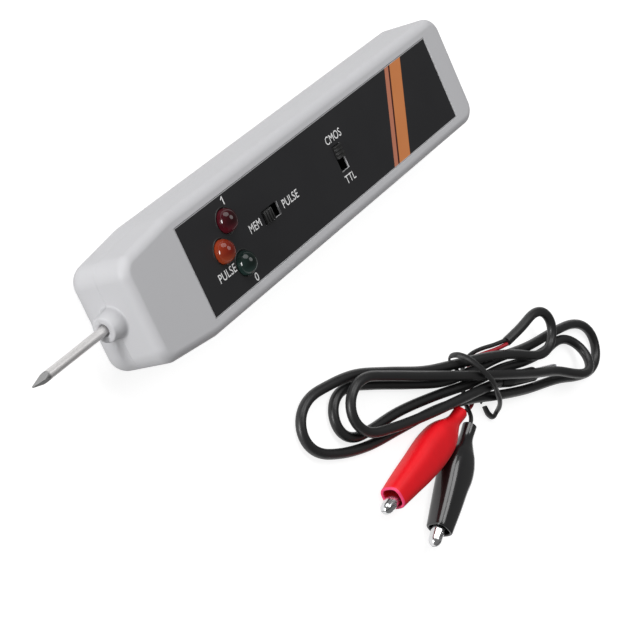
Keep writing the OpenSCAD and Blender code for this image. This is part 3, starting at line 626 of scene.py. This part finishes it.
def flat_face(bm, z):
    """The largest face at a height."""
    level = [f for f in bm.faces if all(abs(v.co.z - z) < WELD for v in f.verts)]
    return max(level, key=lambda f: f.calc_area())


def stepped(bm, face, *steps):
    """Insets and extrudes a face in turn. Each step is an inset and a rise."""
    for inset, rise in steps:
        bmesh.ops.inset_region(bm, faces=[face], thickness=inset, use_even_offset=True, use_boundary=True)
        face = pulled(bm, face, rise)


def drill(start, end, radius):
    """Round cutter between two points, turned so that none of its edges lies in the seam's plane."""
    start, end = Vector(start), Vector(end)
    turn = (end - start).to_track_quat("Z", "Y").to_matrix().to_4x4()
    half_facet = Matrix.Rotation(math.pi / DRILL_SIDES, 4, "Z")
    bm = bmesh.new()
    bmesh.ops.create_cone(
        bm, cap_ends=True, segments=DRILL_SIDES, radius1=radius, radius2=radius, depth=(end - start).length,
        matrix=Matrix.Translation((start + end) / 2) @ turn @ half_facet)
    return object_of("drill", bm)


def mill(low, high):
    """Square cutter between two corners."""
    low, high = Vector(low), Vector(high)
    bm = bmesh.new()
    bmesh.ops.create_cube(
        bm, size=1, matrix=Matrix.Translation((low + high) / 2) @ Matrix.Diagonal((*(high - low), 1)))
    return object_of("mill", bm)


def end_drills():
    """Cutters for the socket in the rear wall and the needle in the nose, both on the seam."""
    return [
        drill((0, REAR_Y - CUT_PAST, SEAM_Z), (0, REAR_Y + CUT_PAST, SEAM_Z), JACK_R),
        drill((0, NOSE_Y - CUT_PAST, SEAM_Z), (0, NOSE_Y + CUT_PAST, SEAM_Z), NEEDLE_HOLE_R)]


def carved(bm, cutters):
    """A block with the cutters' shapes taken out of it."""
    bmesh.ops.recalc_face_normals(bm, faces=bm.faces)
    block = object_of("block", bm)
    for cutter in cutters:
        cut = block.modifiers.new("cut", "BOOLEAN")
        cut.operation = "DIFFERENCE"
        cut.solver = "EXACT"
        cut.object = cutter
    result = bmesh.new()
    result.from_object(block, bpy.context.evaluated_depsgraph_get())
    bmesh.ops.scale(result, vec=(1 / MM, 1 / MM, 1 / MM), verts=result.verts)
    for obj in [block] + cutters:
        bpy.data.objects.remove(obj)
    return result


RECESS_LOW = Vector((-PANEL_HALF - RECESS_PLAY, PANEL_Y0 - RECESS_PLAY, CASE_TOP - RECESS))
RECESS_HIGH = Vector((PANEL_HALF + RECESS_PLAY, PANEL_Y1 + RECESS_PLAY, CASE_TOP + CUT_PAST))


def on_lip(vert):
    """True for a point on the upper edge of the panel's recess."""
    x, y, z = vert.co
    inside = abs(x) < RECESS_HIGH.x + SEAM and RECESS_LOW.y - SEAM < y < RECESS_HIGH.y + SEAM
    return inside and abs(z - CASE_TOP) < WELD


# upper shell: rounded above, a tongue below, hollow, then the recess and the openings
bm, under, over = plan_block(SEAM_Z, CASE_TOP)
rounded(bm, over.edges[:], TOP_R, 10)
rounded(bm, under.edges[:], SEAM, 1)
stepped(
    bm, flat_face(bm, SEAM_Z),
    (WALL - TONGUE_WALL - SEAM, -TONGUE), (TONGUE_WALL, ROOF_Z - SEAM_Z + TONGUE))
cutters = end_drills() + [mill(RECESS_LOW, RECESS_HIGH)]
opening_low, opening_high = ROOF_Z - CUT_PAST, CASE_TOP - RECESS / 2
for x, y in LAMPS.values():
    cutters.append(drill((x, y, opening_low), (x, y, opening_high), LAMP_R + LAMP_PLAY))
for x, y, wide, long in (MODE_WINDOW, FAMILY_WINDOW):
    near = (x - wide / 2, y - long / 2, opening_low)
    far = (x + wide / 2, y + long / 2, opening_high)
    cutters.append(mill(near, far))
bm = carved(bm, cutters)
rounded(bm, [e for e in bm.edges if all(on_lip(v) for v in e.verts)], LIP_R, 2)
upper = piece("upper_case", bm, "case_grey", weighted=True)
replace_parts(upper, "upper_shell")

# lower shell: rounded below, a rebate for the tongue above, hollow
bm, under, over = plan_block(0, SEAM_Z)
rounded(bm, under.edges[:], BOTTOM_R, 12)
rounded(bm, over.edges[:], SEAM, 1)
rebate_wall = WALL - TONGUE_WALL - TONGUE_PLAY
rebate_z = SEAM_Z - TONGUE - TONGUE_PLAY
stepped(
    bm, flat_face(bm, SEAM_Z),
    (rebate_wall - SEAM, rebate_z - SEAM_Z), (WALL - rebate_wall, WALL - rebate_z))
lower = piece("lower_case", carved(bm, end_drills()), "case_grey", weighted=True)
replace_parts(lower, "lower_shell")

# the boss round the needle, half on each shell: radius and distance out from the nose
BOSS = [
    (3.6, -0.02), (3.36, 0.06), (3.2, 0.28), (3.12, 0.7), (2.66, 2.98), (2.6, 3.16), (2.48, 3.26),
    (2.3, 3.3), (1.42, 3.3), (1.3, 3.2), (1.0, 2.2), (1.0, -0.5), (3.6, -0.5)]
BOSS_GAP = math.radians(0.7)
for side, label in ((-1, "upper_boss"), (1, "lower_boss")):
    bm = bmesh.new()
    section = bm.faces.new([bm.verts.new((r, NOSE_Y - out, SEAM_Z)) for r, out in BOSS])
    centre = (0, 0, SEAM_Z)
    bmesh.ops.rotate(bm, cent=centre, matrix=Matrix.Rotation(side * BOSS_GAP, 3, "Y"), verts=section.verts)
    bmesh.ops.spin(
        bm, geom=[section] + section.edges[:] + section.verts[:], cent=centre, axis=(0, 1, 0),
        angle=side * (math.pi - 2 * BOSS_GAP), steps=40)
    piece(label, bm, "case_grey", sharp=50, weighted=True)


# lettering and lamps

ONE = [(0.19, 0), (0.30, 0), (0.30, 0.70), (0.22, 0.70), (0, 0.54), (0, 0.43), (0.19, 0.56)]
ONE_STEM, ONE_FLAG = (0, 1, 2, 3, 6), (3, 4, 5, 6)
# each word with its middle, its letters' size and how far it is squeezed
WORDS = [
    ("1", -8.2, -16.2, 2.5, 1), ("0", 8.3, -16.3, 2.4, 1), ("PULSE", 3.95, -23.5, 2.5, 0.86),
    ("MEM", 0, -10.5, 2.5, 0.8), ("PULSE", 0.1, 2.5, 2.5, 0.86), ("CMOS", -4.55, 23.0, 2.5, 0.86),
    ("TTL", 4.7, 22.9, 2.5, 0.86)]
PRINT_LIFT, PRINT_BOLD, PRINT_SPACING = 0.02, 0.004, 1.04


def flat_word(text, size):
    """A word as a flat mesh. The digit one is a plain stem with a flag."""
    if text == "1":
        mesh = bpy.data.meshes.new("word")
        bm = bmesh.new()
        corners = [bm.verts.new((a * size, b * size, 0)) for a, b in ONE]
        for part in (ONE_STEM, ONE_FLAG):
            bm.faces.new([corners[k] for k in part])
        bm.to_mesh(mesh)
        bm.free()
        return mesh
    curve = bpy.data.curves.new("word", "FONT")
    curve.body = text
    curve.align_x = "CENTER"
    curve.align_y = "CENTER"
    curve.size = size
    curve.offset = size * PRINT_BOLD
    curve.space_character = PRINT_SPACING
    obj = bpy.data.objects.new("word", curve)
    scene.collection.objects.link(obj)
    mesh = bpy.data.meshes.new_from_object(obj.evaluated_get(bpy.context.evaluated_depsgraph_get()))
    bpy.data.objects.remove(obj)
    return mesh


bm = bmesh.new()
for text, x, y, size, squeeze in WORDS:
    word = flat_word(text, size)
    points = np.array([v.co for v in word.vertices])
    middle = Vector((points.min(axis=0) + points.max(axis=0)) / 2)
    along_probe = Matrix.Translation((x, y, PANEL_TOP + PRINT_LIFT)) @ Matrix.Rotation(math.pi / 2, 4, "Z")
    word.transform(along_probe @ Matrix.Diagonal((squeeze, 1, 1, 1)) @ Matrix.Translation(-middle))
    bm.from_mesh(word)
words = object_of("panel_words", bm)
words.data.materials.append(white_print())
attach(words, "probe")

for name, centre in LAMPS.items():
    dome = LAMP_TOP - LAMP_R
    flange = LAMP_R + FLANGE_R
    profile = [
        (0, LAMP_Z), (flange - 0.05, LAMP_Z), (flange, LAMP_Z + 0.1), (flange, LAMP_Z + FLANGE_H - 0.1),
        (flange - 0.1, LAMP_Z + FLANGE_H), (LAMP_R, LAMP_Z + FLANGE_H + 0.02)]
    profile += [(LAMP_R * math.cos(a), dome + LAMP_R * math.sin(a)) for a in np.linspace(0, math.pi / 2, 20)]
    bm = bmesh.new()
    line = [bm.verts.new((centre[0] + r, centre[1], z)) for r, z in profile]
    spun(bm, line, [bm.edges.new(pair) for pair in zip(line, line[1:])], centre)
    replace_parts(piece(name + "_lens", bm, slots[name], sharp=45), name)

# thin ring round each lamp
bm = bmesh.new()
for x, y in LAMPS.values():
    place = Matrix.Translation((x + RIM_R, y, PANEL_TOP - RIM_SUNK)) @ Matrix.Rotation(math.pi / 2, 4, "X")
    place = place @ Matrix.Diagonal((RIM_HALF_W, RIM_HALF_H, 1, 1))
    rim = bmesh.ops.create_circle(bm, segments=16, radius=1, matrix=place)["verts"]
    spun(bm, rim, edges_of(rim), (x, y))
piece("lamp_rims", bm, "knob_black")


# the clips' soft sleeves and springs

SLEEVE_SIDES, SLEEVE_WALL, SLEEVE_END = 48, 0.6, 0.2
# the sleeve's section goes from a circle to a squarer oval over a stretch that starts past its tail
ROUND_POWER, SQUARE_POWER, ROUND_TAIL, SQUARE_RUN = 2.0, 2.9, 4, 6
# from the rivet, where each soft piece would start to follow the moving jaw and where it would follow it
# wholly; nothing makes it follow
SLEEVE_GIVE = ((0, 0), (1.2, 4.4))
SPRING_GIVE = ((0, -1.0), (0, 1.0))


def at_pivot(color):
    """Frame at a clip's rivet, X out through the jaws."""
    tail, way, length, _ = CLIPS[color]
    reach = length - JAW_X
    pivot = Vector((tail[0] + way[0] * reach, tail[1] + way[1] * reach, CLIP_Z))
    return Matrix.Translation(pivot) @ Matrix.Rotation(math.atan2(way[1], way[0]), 4, "Z")


def give(obj, color, stretch):
    """Bakes a piece's place into its mesh. The points where it would start and end following the moving jaw
    are worked out but not used.
    """
    side = CLIPS[color][3]
    start, end = (at_pivot(color) @ Vector((x, side * y, 0)) * MM for x, y in stretch)
    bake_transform(obj)


def sleeve(color):
    """A clip's hollow sleeve, squarer over the jaws and round at the tail."""
    _, _, length, side = CLIPS[color]
    tail = JAW_X - length
    # place along the clip, half width, half height and shift to the moving jaw's side
    stations = [
        (10, 2.8, 2.6, 0.35), (4, 3.35, 3.0, 0.2), (-1, 3.8, 3.2, 0), (tail + 12.8, 4.2, 3.25, 0),
        (tail + 10, 3.9, 3.15, 0), (tail + 7.6, 3.3, 2.85, 0), (tail + 5.6, 2.4, 2.3, 0),
        (tail + 3.4, 1.7, 1.7, 0), (tail, 1.65, 1.65, 0)]
    turn = np.arange(SLEEVE_SIDES) * 2 * math.pi / SLEEVE_SIDES

    def ring(station, sunk, ahead=0.0):
        x, wide, high, aside = station
        square = min(1, max(0, (x - tail - ROUND_TAIL) / SQUARE_RUN))
        power = ROUND_POWER + (SQUARE_POWER - ROUND_POWER) * square
        across, up = (np.sign(c) * np.abs(c) ** (2 / power) for c in (np.cos(turn), np.sin(turn)))
        y = side * (aside + (wide - sunk) * across)
        return np.stack([np.full(SLEEVE_SIDES, x + ahead), y, (high - sunk) * up], 1)

    line = spline(stations, SPAN_STEPS)
    half_wall = SLEEVE_WALL / 2
    inner = [ring(q, SLEEVE_WALL) for q in line[::-1]]
    outer = [ring(q, 0) for q in line[1:-1]]
    mouth = [
        ring(line[0], half_wall * (1 - math.cos(b)), half_wall * math.sin(b))
        for b in np.linspace(math.pi, 0, 7)]
    end = [ring(line[-1], half_wall * (1 - math.cos(b)), -SLEEVE_END) for b in np.linspace(0, math.pi, 5)]
    bm = bmesh.new()
    lofted(bm, inner[:-1] + mouth + outer + end + inner[:1])
    bmesh.ops.transform(bm, matrix=at_pivot(color), verts=bm.verts)
    obj = piece(color + "_sleeve", bm, "boot_" + color, body=None, sharp=60)
    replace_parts(obj, color + "_boot")
    give(obj, color, SLEEVE_GIVE)
    return obj


def spring(color):
    """A clip's spring, one leg on each handle."""
    node = color + "_spring"
    obj = piece(node + "_wound", merged_copy(node), slots[node], body=None, sharp=40)
    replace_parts(obj, node)
    give(obj, color, SPRING_GIVE)
    return obj


def clip(color):
    """The pieces that hang on a wire's end."""
    soft = [sleeve(color), spring(color)]
    jaws = [refined(color + "_fixed_jaw"), refined(color + "_moving_jaw")]
    return soft + jaws + [nodes[color + "_pivot"]]


def declare_cord(path):
    """Works out a cord's path in metres from millimetres and keeps nothing of it."""
    [v * MM for v in path[0]]
    [p * MM for p in path]


clips = {color: clip(color) for color in CLIPS}
refined("mode_knob")
refined("family_knob")
declare_cord(lead_path)
declare_cord(red_path)
declare_cord(black_path)


# floor and light

FLOOR_HALF = 6000
bm = bmesh.new()
bmesh.ops.create_grid(bm, x_segments=1, y_segments=1, size=FLOOR_HALF)
floor = object_of("floor", bm)
pale = Finish("pale_floor", (0.38, 0.38, 0.38), 0.9)
camera_ray, glossy_ray, clear_ray = (
    pale.node("LightPath", {}, {}, label)
    for label in ("Is Camera Ray", "Is Glossy Ray", "Is Transmission Ray"))
pale.set("Emission Color", pale.mix(camera_ray + glossy_ray + clear_ray, (0, 0, 0), (1, 1, 1)))
pale.set("Emission Strength", 0.82)
floor.data.materials.append(pale.material)

world = bpy.data.worlds.new("studio")
world.use_nodes = True
sky = world.node_tree.nodes["Background"]
sky.inputs["Color"].default_value = (1, 1, 1, 1)
sky.inputs["Strength"].default_value = 0.2
scene.world = world


def soft_box(name, place, target, wide, high, power):
    """Oval studio lamp that faces a target, in metres and watts."""
    light = bpy.data.lights.new(name, "AREA")
    light.shape = "ELLIPSE"
    light.size = wide
    light.size_y = high
    light.energy = power
    obj = bpy.data.objects.new(name, light)
    scene.collection.objects.link(obj)
    obj.location = place
    obj.rotation_euler = (Vector(target) - Vector(place)).to_track_quat("-Z", "Y").to_euler()


soft_box("key", (-0.75, 0.05, 0.42), (0.02, 0.02, 0), 0.7, 0.7, 4.3)
soft_box("front", (-0.25, -0.8, 0.1), (0.0, -0.03, 0.01), 0.5, 0.14, 5.8)
soft_box("back", (-0.1, 0.12, 0.4), (0.0, 0.04, 0.01), 0.25, 0.25, 0.6)

scene.view_settings.view_transform = "Standard"

bpy.context.view_layer.update()
